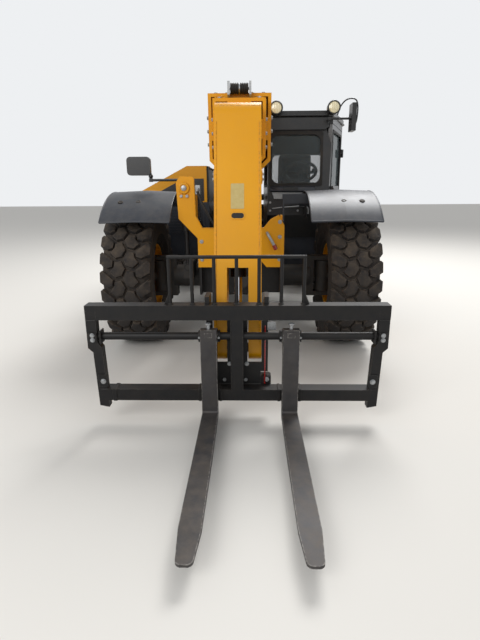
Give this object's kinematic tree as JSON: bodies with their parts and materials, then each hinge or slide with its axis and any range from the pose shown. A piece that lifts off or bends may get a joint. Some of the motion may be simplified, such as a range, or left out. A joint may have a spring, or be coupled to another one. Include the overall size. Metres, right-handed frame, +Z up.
{
  "type": "telehandler",
  "caption": "Telescopic handler with a three-section boom, pallet forks on a tilting carriage, an offset cab, an engine pod and four steered wheels.",
  "frame": {"origin": "on the ground under the middle of the whole length, on the machine's centre line", "axes": "+Z up, -Y towards the forks, +X towards the cab side"},
  "size_m": [2.44, 7.02, 2.5402],
  "materials": {
    "yellow_paint": "gloss paint",
    "black_paint": "satin paint",
    "chrome": "polished rod",
    "galvanised": "galvanised",
    "tyre": "moulded rubber",
    "black_plastic": "matt",
    "seat_cloth": "woven cover",
    "glass": "clear",
    "lamp_lens": "clear",
    "red_lens": "gloss",
    "cast": "cast"
  },
  "bodies": {
    "chassis": {"cab_glass": "glass", "cab_roof": "black_paint", "cab_shell": "black_paint", "chassis_decks": "black_paint", "chassis_frame": "black_paint", "chassis_pins": "black_paint", "chassis_webs": "black_paint", "counterweight": "yellow_paint", "dash": "black_plastic", "engine_block": "cast", "engine_pod": "black_plastic", "front_axle": "cast", "front_bulkhead": "yellow_paint", "grab_rail": "black_paint", "hood_rail": "black_paint", "mirror_left": "black_paint", "mirror_right": "black_paint", "mudguards_front": "black_plastic", "mudguards_rear": "black_plastic", "rear_axle": "cast", "seat": "seat_cloth", "sway_cylinder": "black_paint", "tail_lamps": "red_lens", "tank_step": "black_plastic", "tow_hitch": "cast", "work_lamps": "lamp_lens"},
    "boom_outer": {"boom_outer": "yellow_paint", "hose_guide": "galvanised"},
    "boom_middle": {"boom_middle": "yellow_paint"},
    "boom_inner": {"boom_inner": "yellow_paint"},
    "carriage": {"coupler": "black_paint", "fork_frame": "black_paint", "load_guard": "black_paint", "fork_right": "black_paint", "fork_left": "black_paint"},
    "lift_barrel": {"lift_cylinder_barrel": "yellow_paint"},
    "lift_rod": {"lift_cylinder_rod": "chrome"},
    "tilt_barrel": {"tilt_cylinder_barrel": "black_paint"},
    "tilt_rod": {"tilt_cylinder_rod": "chrome"},
    "front_track_rod": {"front_steering_rod": "chrome"},
    "rear_track_rod": {"rear_steering_rod": "chrome"},
    "door": {"door_frame": "black_paint", "door_glass": "glass"},
    "hood": {"hood": "yellow_paint"},
    "knuckle_front_left": {"knuckle_front_left": "cast"},
    "wheel_front_left": {"rim_front_left": "yellow_paint", "tyre_front_left": "tyre"},
    "knuckle_front_right": {"knuckle_front_right": "cast"},
    "wheel_front_right": {"rim_front_right": "yellow_paint", "tyre_front_right": "tyre"},
    "knuckle_rear_left": {"knuckle_rear_left": "cast"},
    "wheel_rear_left": {"rim_rear_left": "yellow_paint", "tyre_rear_left": "tyre"},
    "knuckle_rear_right": {"knuckle_rear_right": "cast"},
    "wheel_rear_right": {"rim_rear_right": "yellow_paint", "tyre_rear_right": "tyre"}
  },
  "joints": [
    {"name": "boom_lift", "type": "hinge", "parent": "chassis", "child": "boom_outer", "pos_m": [0, 2.86, 2.1], "axis": [-1, 0, 0], "range_deg": [0, 64]},
    {"name": "boom_middle_slide", "type": "slide", "parent": "boom_outer", "child": "boom_middle", "axis": [0, -0.9962, -0.0872], "range_m": [0, 3.1]},
    {"name": "boom_inner_slide", "type": "slide", "parent": "boom_middle", "child": "boom_inner", "axis": [0, -0.9962, -0.0872], "range_m": [0, 3.1]},
    {"name": "carriage_tilt", "type": "hinge", "parent": "boom_inner", "child": "carriage", "pos_m": [0, -2.02, 0.45], "axis": [1, 0, 0], "range_deg": [-15, 90]},
    {"name": "lift_barrel_swing", "type": "hinge", "parent": "chassis", "child": "lift_barrel", "pos_m": [0, 2.48, 0.97], "axis": [-1, 0, 0], "range_deg": [-0.01, 48.81]},
    {"name": "lift_rod_slide", "type": "slide", "parent": "lift_barrel", "child": "lift_rod", "axis": [0, -0.9339, 0.3576], "range_m": [-0.0001, 1.13822]},
    {"name": "tilt_barrel_swing", "type": "hinge", "parent": "boom_inner", "child": "tilt_barrel", "pos_m": [0, -1.62, 1.55], "axis": [-1, 0, 0], "range_deg": [-1.34, 7.97]},
    {"name": "tilt_rod_slide", "type": "slide", "parent": "tilt_barrel", "child": "tilt_rod", "axis": [0, -0.2124, -0.9772], "range_m": [-0.16454, 0.02751]},
    {"name": "front_left_steer", "type": "hinge", "parent": "chassis", "child": "knuckle_front_left", "pos_m": [0.8, -0.43, 0.65], "axis": [0, 0, 1], "range_deg": [-35, 35]},
    {"name": "front_left_spin", "type": "hinge", "parent": "knuckle_front_left", "child": "wheel_front_left", "pos_m": [1, -0.43, 0.65], "axis": [1, 0, 0], "continuous": true},
    {"name": "front_right_steer", "type": "hinge", "parent": "chassis", "child": "knuckle_front_right", "pos_m": [-0.8, -0.43, 0.65], "axis": [0, 0, 1], "range_deg": [-35, 35]},
    {"name": "front_right_spin", "type": "hinge", "parent": "knuckle_front_right", "child": "wheel_front_right", "pos_m": [-1, -0.43, 0.65], "axis": [1, 0, 0], "continuous": true},
    {"name": "front_track_rod_slide", "type": "slide", "parent": "chassis", "child": "front_track_rod", "axis": [1, 0, 0], "range_m": [-0.09876, 0.09876]},
    {"name": "rear_left_steer", "type": "hinge", "parent": "chassis", "child": "knuckle_rear_left", "pos_m": [0.8, 2.32, 0.65], "axis": [0, 0, 1], "range_deg": [-35, 35]},
    {"name": "rear_left_spin", "type": "hinge", "parent": "knuckle_rear_left", "child": "wheel_rear_left", "pos_m": [1, 2.32, 0.65], "axis": [1, 0, 0], "continuous": true},
    {"name": "rear_right_steer", "type": "hinge", "parent": "chassis", "child": "knuckle_rear_right", "pos_m": [-0.8, 2.32, 0.65], "axis": [0, 0, 1], "range_deg": [-35, 35]},
    {"name": "rear_right_spin", "type": "hinge", "parent": "knuckle_rear_right", "child": "wheel_rear_right", "pos_m": [-1, 2.32, 0.65], "axis": [1, 0, 0], "continuous": true},
    {"name": "rear_track_rod_slide", "type": "slide", "parent": "chassis", "child": "rear_track_rod", "axis": [1, 0, 0], "range_m": [-0.09876, 0.09876]},
    {"name": "door_hinge", "type": "hinge", "parent": "chassis", "child": "door", "pos_m": [1.19701, 0.9699, 1.5], "axis": [0, 0, 1], "range_deg": [0, 90]},
    {"name": "hood_hinge", "type": "hinge", "parent": "chassis", "child": "hood", "pos_m": [-0.39, 0.9, 1.712], "axis": [0, 1, 0], "range_deg": [0, 60]}
  ],
  "couplings": [
    {"joint": "boom_inner_slide", "follows": "boom_middle_slide", "ratio": 1},
    {"joint": "lift_barrel_swing", "follows": "boom_lift", "ratio": 0.76253},
    {"joint": "lift_rod_slide", "follows": "boom_lift", "m_per_rad": 1.0189},
    {"joint": "tilt_barrel_swing", "follows": "carriage_tilt", "ratio": 0.088445},
    {"joint": "tilt_rod_slide", "follows": "carriage_tilt", "m_per_rad": -0.10468},
    {"joint": "front_right_steer", "follows": "front_left_steer", "ratio": 1},
    {"joint": "front_track_rod_slide", "follows": "front_left_steer", "m_per_rad": -0.1615},
    {"joint": "rear_right_steer", "follows": "rear_left_steer", "ratio": 1},
    {"joint": "rear_track_rod_slide", "follows": "rear_left_steer", "m_per_rad": 0.1615}
  ]
}
